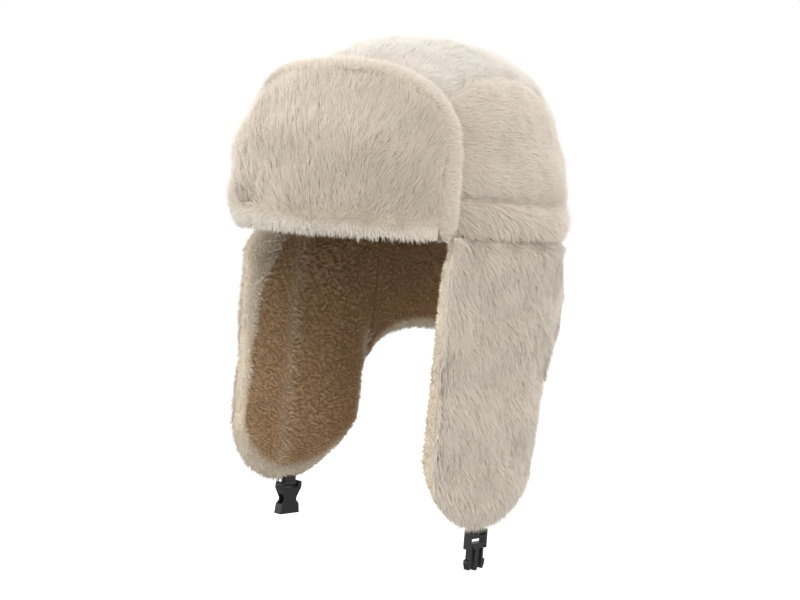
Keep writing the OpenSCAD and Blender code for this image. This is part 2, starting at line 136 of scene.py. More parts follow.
FLOOR_GAP = 0.012
FLOOR_SIDE = 30.0
FLOOR_GREY, FLOOR_GLOW = "#c8c8c8", 0.42
SKY_LIGHT = 0.82

floor_z = cad_box[0][2] - FLOOR_GAP
floor_mesh = bpy.data.meshes.new("floor")
half = FLOOR_SIDE / 2
corners = [(-half, -half, floor_z), (half, -half, floor_z), (half, half, floor_z), (-half, half, floor_z)]
floor_mesh.from_pydata(corners, [], [(0, 1, 2, 3)])
floor = bpy.data.objects.new("floor", floor_mesh)
bpy.context.scene.collection.objects.link(floor)

paper, tree = blank("white_paper")
seen = add_node(tree, "ShaderNodeLightPath").outputs["Is Camera Ray"]
matt = add_node(tree, "ShaderNodeBsdfDiffuse", {"Color": linear("#f4f4f4")})
dull = add_node(tree, "ShaderNodeBsdfDiffuse", {"Color": linear(FLOOR_GREY)})
glow = add_node(tree, "ShaderNodeEmission", {"Strength": FLOOR_GLOW})
lit = add_node(tree, "ShaderNodeAddShader", {0: matt.outputs[0], 1: glow.outputs[0]})
look = add_node(tree, "ShaderNodeMixShader", {0: seen, 1: dull.outputs[0], 2: lit.outputs[0]})
add_node(tree, "ShaderNodeOutputMaterial", {"Surface": look.outputs[0]})
floor_mesh.materials.append(paper)

world = bpy.data.worlds.new("studio")
bpy.context.scene.world = world
world.use_nodes = True
tree = world.node_tree
tree.nodes.clear()
rays = add_node(tree, "ShaderNodeLightPath").outputs
sky = add_node(tree, "ShaderNodeBackground", {"Color": (1, 1, 1, 1), "Strength": SKY_LIGHT})
white = add_node(tree, "ShaderNodeBackground", {"Color": (1, 1, 1, 1), "Strength": 1.0})
seen = add_node(tree, "ShaderNodeMath", {0: rays["Is Camera Ray"], 1: rays["Is Glossy Ray"]},
                operation="MAXIMUM")
look = add_node(tree, "ShaderNodeMixShader", {0: seen.outputs[0], 1: sky.outputs[0], 2: white.outputs[0]})
add_node(tree, "ShaderNodeOutputWorld", {"Surface": look.outputs[0]})

# Square lamps that face the hat: place and width in metres, and power in watts.
LAMPS = {"key": ((0.3, -0.1, 1.7), 1.2, 4.5), "front": ((-0.7, -1.7, 0.35), 1.4, 15.0),
         "side": ((1.6, -0.75, 0.7), 0.9, 8.4), "far": ((-1.7, -0.9, 0.3), 1.0, 5.0),
         "rear": ((0.3, 1.7, 0.7), 1.2, 11.0)}
for name, (place, width, power) in LAMPS.items():
    lamp = bpy.data.lights.new(name, "AREA")
    lamp.size, lamp.energy = width, power
    holder = bpy.data.objects.new(name, lamp)
    holder.location = place
    holder.rotation_euler = (-Vector(place)).to_track_quat("-Z", "Y").to_euler()
    bpy.context.scene.collection.objects.link(holder)


# Crown lining: quilted brown cloth, a dome sewn in against the head along the seam with the flaps.
# The head's dome is a superellipsoid; every layer of the crown is that dome moved out by some millimetres.
MM = 0.001
LINING_T = 1.5
DOME_POWER = 2.55
HEAD_X, HEAD_Y, HEAD_Z = np.array(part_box("crown_lining")[1]) / MM - LINING_T
QUILT = 22.0
QUILT_PUFF, QUILT_SEAM = 1.6, 0.6
CLOTH_WEAR = 50 / 3
DOME_TOP = 0.495 * np.pi


def dome(off, angle, climb):
    """Point of the dome moved out by off, at an angle round +Z from +X and a climb from the seam, in radians:
    an ellipsoid whose cosines and sines are raised to 2 / DOME_POWER."""
    power = 2 / DOME_POWER
    ring = np.cos(climb) ** power
    return np.stack([(HEAD_X + off) * ring * np.cos(angle), (HEAD_Y + off) * ring * np.sin(angle),
                     (HEAD_Z + off) * np.sign(climb) * np.abs(np.sin(climb)) ** power], axis=-1)


def ease(start, end, value):
    """Smooth step: 0 before start, 1 after end."""
    t = np.clip((value - start) / (end - start), 0, 1)
    return t * t * (3 - 2 * t)


def mix(a, b, t):
    """Straight blend from a to b."""
    return a + (b - a) * t


def grid_faces(rows, cols, endless=False):
    """Triangles of a closed slab: a front grid, a back grid turned over, and the rim between the two.
    Rows run up and columns to the right as seen from the front. An endless grid's last column meets its
    first."""
    index = np.arange(rows * cols).reshape(rows, cols)
    if endless:
        index = np.concatenate([index, index[:, :1]], axis=1)
    a, b, c, d = index[:-1, :-1], index[:-1, 1:], index[1:, 1:], index[1:, :-1]
    front = np.stack([a, b, c, a, c, d], axis=-1).reshape(-1, 3)
    if endless:
        rims = [index[0], index[-1, ::-1]]
    else:
        rims = [np.concatenate([index[0], index[1:, -1], index[-1, -2::-1], index[-2::-1, 0]])]
    behind = rows * cols
    edges = [np.stack([r[1:], r[:-1], r[:-1] + behind, r[1:], r[:-1] + behind, r[1:] + behind], axis=-1)
             for r in rims]
    return np.concatenate([front, front[:, ::-1] + behind, np.concatenate(edges).reshape(-1, 3)])


def new_piece(name, points, faces, material, smooth=True):
    """Object at the origin from points in millimetres and triangles."""
    mesh = bpy.data.meshes.new(name)
    mesh.vertices.add(len(points))
    mesh.vertices.foreach_set("co", (points * MM).astype(np.float32).ravel())
    mesh.loops.add(faces.size)
    mesh.loops.foreach_set("vertex_index", faces.astype(np.int32).ravel())
    mesh.polygons.add(len(faces))
    mesh.polygons.foreach_set("loop_start", np.arange(0, faces.size, 3, dtype=np.int32))
    mesh.polygons.foreach_set("use_smooth", np.full(len(faces), smooth))
    mesh.update(calc_edges=True)
    mesh.materials.append(material)
    piece = bpy.data.objects.new(name, mesh)
    bpy.context.scene.collection.objects.link(piece)
    return piece


def woven_cloth(name, dark, light, thread):
    """Plain-woven polyester: two sets of threads cross at right angles, which gives the eye a fine matt
    check with faint worn patches."""
    material, tree = blank(name)
    place = add_node(tree, "ShaderNodeTexCoord").outputs["Object"]
    waves = [add_node(tree, "ShaderNodeTexWave", {"Vector": place, "Scale": math.pi / 10 / (thread * MM)},
                      bands_direction=axis).outputs["Fac"] for axis in "XZ"]
    weave = add_node(tree, "ShaderNodeMath", {0: waves[0], 1: waves[1]}, operation="MULTIPLY").outputs[0]
    wear = add_node(tree, "ShaderNodeTexNoise", {"Vector": place, "Scale": 1 / (CLOTH_WEAR * MM),
                                                 "Detail": 4.0}).outputs["Fac"]
    blend = add_node(tree, "ShaderNodeMath", {0: weave, 1: wear}, operation="ADD").outputs[0]
    colour = add_node(tree, "ShaderNodeValToRGB", {"Fac": blend})
    colour.color_ramp.elements[0].position, colour.color_ramp.elements[0].color = 0.3, linear(dark)
    colour.color_ramp.elements[1].position, colour.color_ramp.elements[1].color = 1.2, linear(light)
    bump = add_node(tree, "ShaderNodeBump", {"Height": weave, "Strength": 0.4, "Distance": 0.3 * MM})
    bsdf = add_node(tree, "ShaderNodeBsdfPrincipled", {"Base Color": colour.outputs[0], "Roughness": 0.6,
                                                       "Normal": bump.outputs[0], "Sheen Weight": 0.2})
    add_node(tree, "ShaderNodeOutputMaterial", {"Surface": bsdf.outputs[0]})
    return material


angle, climb = np.meshgrid(np.linspace(0, 2 * np.pi, 181)[:-1], np.linspace(0, DOME_TOP, 54))
arc = climb * (HEAD_Z + HEAD_Y) / 2
round_it = angle * (HEAD_X + HEAD_Y) / 2
across = np.abs(np.sin((round_it + arc) * np.pi / QUILT) * np.sin((round_it - arc) * np.pi / QUILT))
puff = QUILT_PUFF * np.sqrt(across) * ease(0, 0.1, climb)
inner = dome(LINING_T * QUILT_SEAM - puff, angle, climb)
outer = dome(LINING_T, angle, climb)
lining_cloth = woven_cloth("woven_lining", "#4d3c2f", "#7a624d", thread=1.2)
quilt = np.concatenate([inner[:, ::-1], outer[:, ::-1]]).reshape(-1, 3)
lining = new_piece("crown_lining_quilt", quilt, grid_faces(*angle.shape, endless=True), lining_cloth)
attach(lining, "crown")
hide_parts("crown_lining")


# Padding: white polyester wadding and the visor's felted stiffener, cut from needle-felted sheets.
# The fur cloth and the lining close it in, and the seams round them hold it.
def felted_fibre(name, dark, light, fibre):
    """Needle-felted polyester: a tangle of matt fibres, which gives the eye a soft mottled white."""
    material, tree = blank(name)
    place = add_node(tree, "ShaderNodeTexCoord").outputs["Object"]
    tangle = add_node(tree, "ShaderNodeTexNoise", {"Vector": place, "Scale": 1 / (fibre * MM), "Detail": 6.0,
                                                   "Roughness": 0.7, "Distortion": 1.5}).outputs["Fac"]
    colour = add_node(tree, "ShaderNodeValToRGB", {"Fac": tangle})
    colour.color_ramp.elements[0].position, colour.color_ramp.elements[0].color = 0.3, linear(dark)
    colour.color_ramp.elements[1].position, colour.color_ramp.elements[1].color = 0.7, linear(light)
    bump = add_node(tree, "ShaderNodeBump", {"Height": tangle, "Strength": 0.6, "Distance": 0.5 * MM})
    bsdf = add_node(tree, "ShaderNodeBsdfPrincipled", {"Base Color": colour.outputs[0], "Roughness": 0.95,
                                                       "Normal": bump.outputs[0]})
    add_node(tree, "ShaderNodeOutputMaterial", {"Surface": bsdf.outputs[0]})
    return material


wadding = felted_fibre("felted_wadding", "#d9d5cb", "#f4f2ec", fibre=4.0)
for node in ("crown_batting", "neck_flap_wadding"):
    padding = frame["nodes"][node]
    padding.data.materials.clear()
    padding.data.materials.append(wadding)


# Crown: three panels of cream plush, a centre one from front to back and a shaped one on each side.
# Plush is a knitted backing with a dense pile of fine, soft hairs that lie one way; each panel is crowned by
# the padding under it and pulled in along its seams.
FUR_IN, FUR_OUT = 7.1, 20.1
CENTRE_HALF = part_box("crown_centre_panel")[1].x / MM
BAND_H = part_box("crown_band")[1].z / MM
CROWN_PILE, CROWN_SKIN, CROWN_LEAN, CROWN_CLUMP = 3.9, 3.4, 1.7, 0.12
CENTRE_HAIRS, SIDE_HAIRS = 64000, 19000
COVERED_SHARE = 0.55
SEAM_DIP, SEAM_PULL = 4.5, 14.0
SIDE_REACH = 0.985


def plush(name, root, middle, tip, rim, spread=0.09):
    """Polyester plush: hairs pale at the tip and darker at the root, a painted shade down between the
    hairs, which gives the eye a matt, streaky pile. The pile's own attribute holds how far along a hair a
    point lies, the hair's tint and its patch's tint, and the rim attribute says how far the pale colour of
    an edge takes over."""
    material, tree = blank(name)
    pile = add_node(tree, "ShaderNodeAttribute", attribute_name="pile").outputs["Vector"]
    along, tint, patch = add_node(tree, "ShaderNodeSeparateXYZ", {0: pile}).outputs
    edge = add_node(tree, "ShaderNodeAttribute", attribute_name="rim").outputs["Fac"]
    hair = add_node(tree, "ShaderNodeValToRGB", {"Fac": along})
    stops = hair.color_ramp.elements
    stops[0].color, stops[1].color = linear(root), linear(tip)
    stops.new(0.35).color = linear(middle)
    pale = add_node(tree, "ShaderNodeValToRGB", {"Fac": along})
    stops = pale.color_ramp.elements
    stops[0].color, stops[1].color = linear(root), linear(rim)
    stops.new(0.4).color = linear(rim)
    body = add_node(tree, "ShaderNodeMix", {0: edge, 6: hair.outputs[0], 7: pale.outputs[0]},
                    data_type="RGBA")
    shade = add_node(tree, "ShaderNodeMath", {0: tint, 1: patch}, operation="ADD").outputs[0]
    shade = add_node(tree, "ShaderNodeMapRange", {0: shade, 1: 0.0, 2: 2.0, 3: 1 - spread, 4: 1 + spread},
                     clamp=False).outputs[0]
    colour = add_node(tree, "ShaderNodeMix", {0: 1.0, 6: body.outputs[2], 7: shade}, data_type="RGBA",
                      blend_type="MULTIPLY")
    bsdf = add_node(tree, "ShaderNodeBsdfPrincipled", {"Base Color": colour.outputs[2], "Roughness": 0.85,
                                                       "Specular IOR Level": 0.2, "Sheen Weight": 0.2,
                                                       "Sheen Roughness": 0.6})
    add_node(tree, "ShaderNodeOutputMaterial", {"Surface": bsdf.outputs[0]})
    return material


def unit(vectors):
    """Vectors of length 1."""
    return vectors / np.maximum(np.linalg.norm(vectors, axis=-1, keepdims=True), 1e-9)


def sample(field, row, col):
    """Values of a grid between its points: a weighted mean of the four points round each place."""
    r = np.clip(row.astype(int), 0, field.shape[0] - 2)
    c = np.clip(col.astype(int), 0, field.shape[1] - 2)
    s, t = row - r, col - c
    if field.ndim > 2:
        s, t = s[:, None], t[:, None]
    return mix(mix(field[r, c], field[r, c + 1], t), mix(field[r + 1, c], field[r + 1, c + 1], t), s)


def ripple(points, size, rng, waves=9):
    """Smooth noise about 0 with a spread of 1: a sum of plane waves in random directions, about size long."""
    k = unit(rng.normal(size=(waves, 3))) * 2 * np.pi / size * rng.uniform(0.6, 1.5, (waves, 1))
    return np.cos(points @ k.T + rng.uniform(0, 2 * np.pi, waves)).sum(axis=-1) * math.sqrt(2 / waves)


# A hair has three points at its foot and one at its tip. Its faces are its three sides and its sole.
HAIR_FACES = np.array([[0, 1, 3], [1, 2, 3], [2, 0, 3], [0, 2, 1]])
HAIR_ALONG = np.array([0, 0, 0, 1])
HAIR_UV = np.array([[0, 0], [0.5, 0.12], [1, 0], [0.5, 1]])
HAIR_POINTS = len(HAIR_ALONG)
HAIR_LIFT, HAIR_ROUND = 0.22, 0.8
HAIR_THICK = 0.5
CREASE_SHADE = 4.0


def hairs(skin, fields, count, rng, tuft, clump, swirl):
    """Tapered three-sided hairs on a grid: each stands pile high over the skin, leans along the nap and draws
    together with the others of its tuft. A creased hair is short and painted dark, a painted shade in the
    crease.
    Returns points, pile values, a soft normal for each corner of each face, which is the skin's normal turned
    a little along the hair and towards the face, and each hair's place on the grid."""
    across, climb = np.gradient(skin, axis=1), np.gradient(skin, axis=0)
    normal = np.cross(across, climb)
    weight = np.linalg.norm(normal, axis=-1) * fields["share"]
    normal = unit(normal)
    cells = (weight[:-1, :-1] + weight[1:, 1:]).ravel().cumsum()
    cell = np.searchsorted(cells, rng.random(count) * cells[-1])
    row = cell // (skin.shape[1] - 1) + rng.random(count)
    col = cell % (skin.shape[1] - 1) + rng.random(count)
    root = sample(skin, row, col)
    n = unit(sample(normal, row, col))
    way = sample(fields["nap"], row, col)
    way = unit(way - n * (way * n).sum(-1, keepdims=True))
    bend = swirl * (ripple(root, 38, rng) + 0.5 * ripple(root, 11, rng)) + 0.14 * rng.normal(size=count)
    way = way * np.cos(bend)[:, None] + np.cross(n, way) * np.sin(bend)[:, None]
    # Tufts: the skin is cut into uneven cells, and the tips of a cell's hairs draw towards its middle.
    row_mm = np.linalg.norm(climb, axis=-1).mean()
    col_mm = np.linalg.norm(across, axis=-1).mean()
    wander = 0.5 * ripple(root, 4 * tuft, rng)
    tuft_row = np.floor(row * row_mm / tuft + wander)
    tuft_col = np.floor(col * col_mm / tuft - wander)
    group = np.unique(tuft_row * 100003 + tuft_col, return_inverse=True)[1]
    pick = rng.random((group.max() + 1, 4))[group]
    middle = sample(skin, np.clip((tuft_row - wander + pick[:, 0]) * tuft / row_mm, 0, skin.shape[0] - 1.001),
                    np.clip((tuft_col + wander + pick[:, 1]) * tuft / col_mm, 0, skin.shape[1] - 1.001))
    gather = (middle - root) * clump
    gather -= n * (gather * n).sum(-1, keepdims=True)
    gather *= np.minimum(1, tuft / np.maximum(np.linalg.norm(gather, axis=-1, keepdims=True), 1e-6))
    crease = sample(fields["crease"], row, col)
    stand = sample(fields["pile"], row, col) * (0.72 + 0.36 * rng.random(count)) * (0.82 + 0.3 * pick[:, 2])
    stand = (stand * np.maximum(0.4, 1 - 0.5 * crease))[:, None]
    reach = stand * sample(fields["lean"], row, col)[:, None] * (0.75 + 0.5 * rng.random((count, 1)))
    wide = np.cross(way, n)
    tip = root + n * stand + way * reach + gather + wide * stand * 0.12 * rng.normal(size=(count, 1))
    radius = HAIR_THICK / 2 * (0.65 + 0.7 * rng.random((count, 1)))
    out = [wide * np.cos(turn) + way * np.sin(turn) for turn in (0, 2 * np.pi / 3, 4 * np.pi / 3)]
    points = np.stack([*(root - 0.5 * n + radius * way_out for way_out in out), tip], axis=1)
    # A crease lowers the hair's tint: painted shade in the crease.
    tint = 0.55 * rng.random(count) + 0.45 * pick[:, 3] - CREASE_SHADE * crease
    patch = np.clip(0.5 + 0.14 * ripple(root, 60, rng) + 0.1 * ripple(root, 17, rng), 0, 1)
    values = np.stack(np.broadcast_arrays(HAIR_ALONG, tint[:, None], patch[:, None]), axis=-1)
    # A side's corners at the foot turn out with their own points, and its corner at the tip with the side.
    soft = unit(n + HAIR_LIFT * unit(tip - root))
    foot = [unit(soft + HAIR_ROUND * way_out) for way_out in out]
    head = [unit(soft - HAIR_ROUND * way_out) for way_out in (out[2], out[0], out[1])]
    soft = np.stack([foot[0], foot[1], head[0], foot[1], foot[2], head[1], foot[2], foot[0], head[2],
                     foot[0], foot[2], foot[1]], axis=1).reshape(-1, 3)
    return points, values, soft, row, col


def fur_cloth(name, skin, backing, nap, pile, count, material, seed, lean=1.2, tuft=2.6, clump=0.35,
              swirl=0.22, share=1.0, rim=0.0, crease=0.0, endless=False):
    """One piece of plush: a closed slab from the skin grid to the backing grid, and the hairs on its skin.
    An endless piece's last column lies on its first."""
    rng = np.random.default_rng(seed)
    rows, cols = skin.shape[0], skin.shape[1] - endless
    fields = {key: np.broadcast_to(field, skin.shape[:2]) for key, field in
              (("pile", pile), ("lean", lean), ("share", share), ("crease", crease), ("rim", rim))}
    fields["nap"] = np.broadcast_to(nap, skin.shape)
    points, values, soft, row, col = hairs(skin, fields, count, rng, tuft, clump, swirl)
    slab = np.concatenate([skin[:, :cols].reshape(-1, 3), backing[:, :cols].reshape(-1, 3)])
    slab_faces = grid_faces(rows, cols, endless)
    hair_faces = (HAIR_FACES + HAIR_POINTS * np.arange(count)[:, None, None]).reshape(-1, 3) + len(slab)
    faces = np.concatenate([slab_faces, hair_faces])
    piece = new_piece(name, np.concatenate([slab, points.reshape(-1, 3)]), faces, material)
    mesh = piece.data
    slab_values = np.tile([0.25, 0.5, 0.5], (len(slab), 1))
    # The slab is painted darker in creases as well, a painted shade.
    slab_values[:, 1] -= CREASE_SHADE * np.tile(fields["crease"][:, :cols].ravel(), 2)
    mesh.attributes.new("pile", "FLOAT_VECTOR", "POINT").data.foreach_set(
        "vector", np.concatenate([slab_values, values.reshape(-1, 3)]).astype(np.float32).ravel())
    pale_hair = ease(0.25, 0.75, sample(fields["rim"], row, col) + 0.5 * (rng.random(count) - 0.5))
    rims = np.concatenate([np.tile(fields["rim"][:, :cols].ravel(), 2), np.repeat(pale_hair, HAIR_POINTS)])
    mesh.attributes.new("rim", "FLOAT", "POINT").data.foreach_set("value", rims.astype(np.float32))
    normals = np.empty(len(mesh.vertices) * 3, np.float32)
    mesh.vertex_normals.foreach_get("vector", normals)
    normals = normals.reshape(-1, 3)[slab_faces.ravel()]
    mesh.normals_split_custom_set(np.concatenate([normals, soft]))
    # Bake map: one small cell of the picture for each hair, and a strip along its top for the slab.
    cells = math.ceil(math.sqrt(count))
    corner = np.stack([np.arange(count) % cells, np.arange(count) // cells], axis=-1)[:, None]
    hair_uv = (corner + 0.08 + 0.84 * HAIR_UV) / cells * [1, 0.9]
    slab_uv = np.meshgrid(np.linspace(0, 1, cols), np.linspace(0.92, 1, rows))
    slab_uv = np.stack(slab_uv, axis=-1).reshape(-1, 2)
    uv = np.concatenate([slab_uv, slab_uv, hair_uv.reshape(-1, 2)])
    mesh.uv_layers.new(name="OFBake").data.foreach_set("uv", uv[faces.ravel()].astype(np.float32).ravel())
    return piece


def edge_distance(grid):
    """Distances of a panel's points from its bottom, top, left and right edges, summed along its columns
    and rows."""
    up = np.linalg.norm(np.diff(grid, axis=0, prepend=grid[:1]), axis=-1).cumsum(axis=0)
    over = np.linalg.norm(np.diff(grid, axis=1, prepend=grid[:, :1]), axis=-1).cumsum(axis=1)
    return up, up[-1:] - up, over, over[:, -1:] - over


def fullness(grid, bottom=0, top=0, left=0, right=0):
    """How full a padded panel stands: 0 at a seam, rising on a quarter circle to 1 that many millimetres in.
    An edge given as 0 isn't pulled in."""
    full = np.ones(grid.shape[:2])
    for distance, width in zip(edge_distance(grid), (bottom, top, left, right)):
        if width:
            full = np.minimum(full, 1 - np.clip(1 - distance / width, 0, 1) ** 2)
    return np.sqrt(full)


def lumps(grid, seed, size=48, depth=0.8):
    """Gentle unevenness of the padding under a panel, in millimetres."""
    rng = np.random.default_rng(seed)
    return depth * (ripple(grid, size, rng) + 0.5 * ripple(grid, size / 2.2, rng))


def finish_padded(piece, nodes, slot, fill, body, moving=None, start=None, end=None):
    """Hangs a padded piece on its body, or, when it is given a moving body, bakes its place into its mesh;
    and hides the parts that it replaces. The two points start and end are not used.
    """
    if moving:
        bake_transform(piece)
    else:
        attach(piece, body)
    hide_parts(*nodes)


def ring_share(off, z):
    """How wide the dome still is at a height, as a share of its width at the seam."""
    return (1 - (z / (HEAD_Z + off)) ** DOME_POWER) ** (1 / DOME_POWER)


def dome_height(off, x, y):
    """Height of the dome over a point of the plan."""
    plan = np.hypot(x / (HEAD_X + off), y / (HEAD_Y + off))
    return (HEAD_Z + off) * np.maximum(0, 1 - plan ** DOME_POWER) ** (1 / DOME_POWER)


def centre_panel(off, u, v):
    """Centre panel: u runs from the right seam to the left one, v from the front over the top to the back."""
    x = CENTRE_HALF * u
    y = -(HEAD_Y + off) * np.sqrt(ring_share(off, BAND_H) ** 2 - (x / (HEAD_X + off)) ** 2) * np.cos(v)
    return np.stack([x, y, dome_height(off, x, y)], axis=-1)


# The cream plush comes in lit and shaded copies: the lightest, a painted light, for the crown's top and the
# visor's back, and a darker one, a painted shade, for the sides, band, roll and flaps.
lit_smooth_plush = plush("cream_plush_smooth_lit", "#dccfbf", "#ece4d9", "#f6f1e9", "#f8f4ec")
shaded_side_plush = plush("cream_plush_side_shaded", "#d4c5b1", "#e7dbcc", "#f1e8db", "#f3ebdf")
u, v = np.meshgrid(np.linspace(-1, 1, 45), np.linspace(0, np.pi, 120))
plan = centre_panel(FUR_OUT, u, v)
full = fullness(plan, *4 * [SEAM_PULL])
skin = centre_panel(FUR_OUT - CROWN_SKIN - SEAM_DIP * (1 - full) + lumps(plan, 31), u, v)
backing = centre_panel(np.full_like(u, FUR_IN), u, v)
# The visor covers the panel's front, where fewer hairs do.
share = mix(COVERED_SHARE, 1, ease(0.6, 1.1, v))
piece = fur_cloth("crown_centre_fur", skin, backing, np.array([0.0, 1.0, 0.0]), CROWN_PILE, CENTRE_HAIRS,
                  lit_smooth_plush, seed=1, lean=CROWN_LEAN, clump=CROWN_CLUMP, share=share)
finish_padded(piece, ["crown_centre_panel"], "fur_front", 0.7, "crown")


def side_panel(off, t, a):
    """Left side panel: t runs from its lower rim to the seam with the centre, a from front to back."""
    ring = ring_share(off, BAND_H)
    end = SIDE_REACH * (HEAD_Y + off) * np.sqrt(ring ** 2 - (CENTRE_HALF / (HEAD_X + off)) ** 2)
    y = end * np.sin(a)
    x = mix(CENTRE_HALF, (HEAD_X + off) * np.sqrt(ring ** 2 - (y / (HEAD_Y + off)) ** 2), np.cos(t))
    return np.stack([x, y, dome_height(off, x, y)], axis=-1)


def mirrored(grid):
    """The same grid on the wearer's other side, with its columns turned round so that it still faces out."""
    return grid[:, ::-1] * [-1, 1, 1]


a, t = np.meshgrid(np.linspace(-np.pi / 2, np.pi / 2, 70), np.linspace(0, np.pi / 2, 44))
plan = side_panel(FUR_OUT, t, a)
full = fullness(plan, bottom=SEAM_PULL, top=SEAM_PULL)
skin = side_panel(FUR_OUT - CROWN_SKIN - SEAM_DIP * (1 - full) + lumps(plan, 32), t, a)
backing = side_panel(np.full_like(t, FUR_IN), t, a)
for name, place, seed in (("left", np.array, 2), ("right", mirrored, 3)):
    piece = fur_cloth(f"crown_side_fur_{name}", place(skin), place(backing), np.array([0.0, 1.0, -0.25]),
                      CROWN_PILE, SIDE_HAIRS, shaded_side_plush, seed, lean=CROWN_LEAN, clump=CROWN_CLUMP)
    finish_padded(piece, [f"crown_side_panel_{name}"], "fur_side", 0.7, "crown")


# Band: a ring of the same plush round the head, padded so that it puffs out.
# It is sewn to the panels above and to the flaps below, and stands over both seams.
BAND_OUT = 22.6
BAND_PILE = 6.0
BAND_HAIRS = 26000
BAND_EDGE, BAND_LIP = 10.0, 16.5


def band(off, s, angle):
    """Ring of the dome from the flap seam, s 0, to the panels, s 1."""
    ring = ring_share(off, s * BAND_H)
    return np.stack([(HEAD_X + off) * ring * np.cos(angle), (HEAD_Y + off) * ring * np.sin(angle),
                     s * BAND_H], axis=-1)


s, angle = np.meshgrid(np.linspace(0, 1, 17), np.linspace(0, 2 * np.pi, 241), indexing="ij")
# The lower edge stands out more at the front, where it meets the visor's ends.
low_edge = mix(BAND_EDGE, BAND_LIP, ease(0, 0.45, -np.sin(angle)))
puff = mix(mix(low_edge, BAND_EDGE, s), BAND_OUT - BAND_PILE, np.sqrt(4 * s * (1 - s)))
skin = band(puff, s, angle)
piece = fur_cloth("crown_band_fur", skin, band(np.full_like(s, FUR_IN), s, angle), np.array([0.0, 0.5, -1.0]),
                  BAND_PILE, BAND_HAIRS, shaded_side_plush, seed=4, clump=0.25, endless=True)
finish_padded(piece, ["crown_band"], "fur_side", 0.8, "crown")


# Visor: a face and a back of plush over a stiff felt sheet, with a strip of plush rolled round its ends and
# top. It is sewn to the front of the head opening and stands turned up against the crown.
# Its layers lie so many millimetres out from the head: its back, the sheet, its face and the outside.
VISOR_IN, STIFF_IN, FACE_IN, VISOR_OUT = 23.1, 31.4, 33.3, 45.3
STIFF_T = 1.6
FACE_HEM, BACK_HEM, BACK_OFF = 0.4, 0.8, 0.4
# Its heights at the front and at its ends, and how far forward its ends lie.
VISOR_LEN, VISOR_END_LEN, VISOR_END = 113, 46, 68
VISOR_DROP = 4
VISOR_CORNER = 3
VISOR_TAPER = 7
ROLL_W = 14
SHEET_INSET = 0.95 * ROLL_W
HEM_ROUND, SEAM_ROUND = 14, 9
FACE_LEAST, END_FILL = 0.9, 2.2
VISOR_PILE, FRINGE_PILE = 6.0, 3.6
FACE_HAIRS, BACK_HAIRS, ROLL_HAIRS = 48000, 6000, 30000
VISOR_SKEW = 6
VISOR_HINGE = [0, -122.1, 0]
VISOR_BENT = [0, -122.1, 60]
ROLL_HALF_T = (VISOR_OUT - VISOR_TAPER - VISOR_IN) / 2
ROLL_MID = VISOR_IN + ROLL_HALF_T
VISOR_MID = (VISOR_IN + VISOR_OUT) / 2


def visor_span(inset):
    """Half the angle that the visor takes round the head, less an inset from its end."""
    whole = np.pi / 2 - math.asin(VISOR_END / (HEAD_Y + ROLL_MID))
    return whole - inset / ((HEAD_X + HEAD_Y) / 2 + VISOR_MID)


def visor_top(w, inset):
    """Climb of the visor's top edge, less an inset: straight ends, then a squarish curve over the front.
    This hat's visor is turned up a little higher on its left than on its right."""
    corner = np.sqrt(np.maximum(0, 1 - np.abs(w) ** VISOR_CORNER))
    height = VISOR_END_LEN + (VISOR_LEN - VISOR_END_LEN) * corner + VISOR_SKEW * w
    return (height - inset) / (HEAD_Z + VISOR_MID)


def visor_sheet(off, w, t):
    """Sheet of the visor inside its roll: w runs from the wearer's right end to the left, t up it."""
    low = -np.arcsin((VISOR_DROP / (HEAD_Z + off)) ** (DOME_POWER / 2))
    return dome(off, -np.pi / 2 + w * visor_span(SHEET_INSET), mix(low, visor_top(w, SHEET_INSET), t))


def visor_fill(w, t):
    """How thick the visor's face is: full in the lower middle and thinner towards its ends and top."""
    return (1 - ease(0.6, 1, np.abs(w))) * (1 - ease(0.4, 1, t))


# The darkest copy of the cream plush, a painted shade, for the visor's upright face.
shaded_brushed_plush = plush("cream_plush_brushed_shaded", "#c9b8a3", "#ded2c3", "#efe5d7", "#f5efe2")
w, t = np.meshgrid(-np.cos(np.linspace(0, np.pi, 90)), np.linspace(0, 1, 60) ** 1.25)
plan = visor_sheet(np.full_like(w, VISOR_OUT), w, t)
bottom, top, left, right = edge_distance(plan)
under = fullness(plan, bottom=HEM_ROUND)
seam = fullness(plan, top=SEAM_ROUND, left=SEAM_ROUND, right=SEAM_ROUND)
trim = ease(-2, 15, np.minimum(top, np.minimum(3 * left, right)))
far_end = ease(0.5, 0.85, -w)
least = FACE_IN + FACE_LEAST + END_FILL * ease(0.5, 0.85, np.abs(w))
outside = VISOR_OUT - VISOR_TAPER * (1 - visor_fill(w, t)) - VISOR_PILE
outside = np.maximum(least, outside) + lumps(plan, 33, depth=0.5)
skin = visor_sheet(mix(FACE_IN + FACE_HEM, outside, under), w, t)
climb, across = unit(np.gradient(skin, axis=0)), unit(np.gradient(skin, axis=1))
# The nap parts above the hem: below the parting it hangs as a fringe, painted pale as painted light from the
# floor below, and above it runs up and fans out.
rng = np.random.default_rng(34)
hem = 9.0 + 1.5 * ripple(plan, 30, rng)
parting = hem * mix(1, 0.2, ease(0.35, 0.8, -w))
fold = ease(parting - 6, parting + 6, bottom)
fan = 0.1 + 0.4 * ease(0.1, 0.9, w) - 1.0 * ease(0.2, 0.95, -w)
nap = climb * (2 * fold - 1)[..., None] + across * (fold * fan)[..., None]
broken = ease(0.3, 1.2, ripple(plan, 22, rng))
# The seam line at the top right and the parting above the hem are painted darker, as painted shade.
at_seam = 1 - ease(0.5, 2.5, np.minimum(top, right))
seam_line = 0.3 * at_seam * broken * ease(0.55, 0.75, w) * ease(0.5, 0.7, t)
parting_shade = 0.2 * (1 - ease(1, 5, np.abs(bottom - parting))) * np.exp(-((w - 0.45) / 0.25) ** 2)
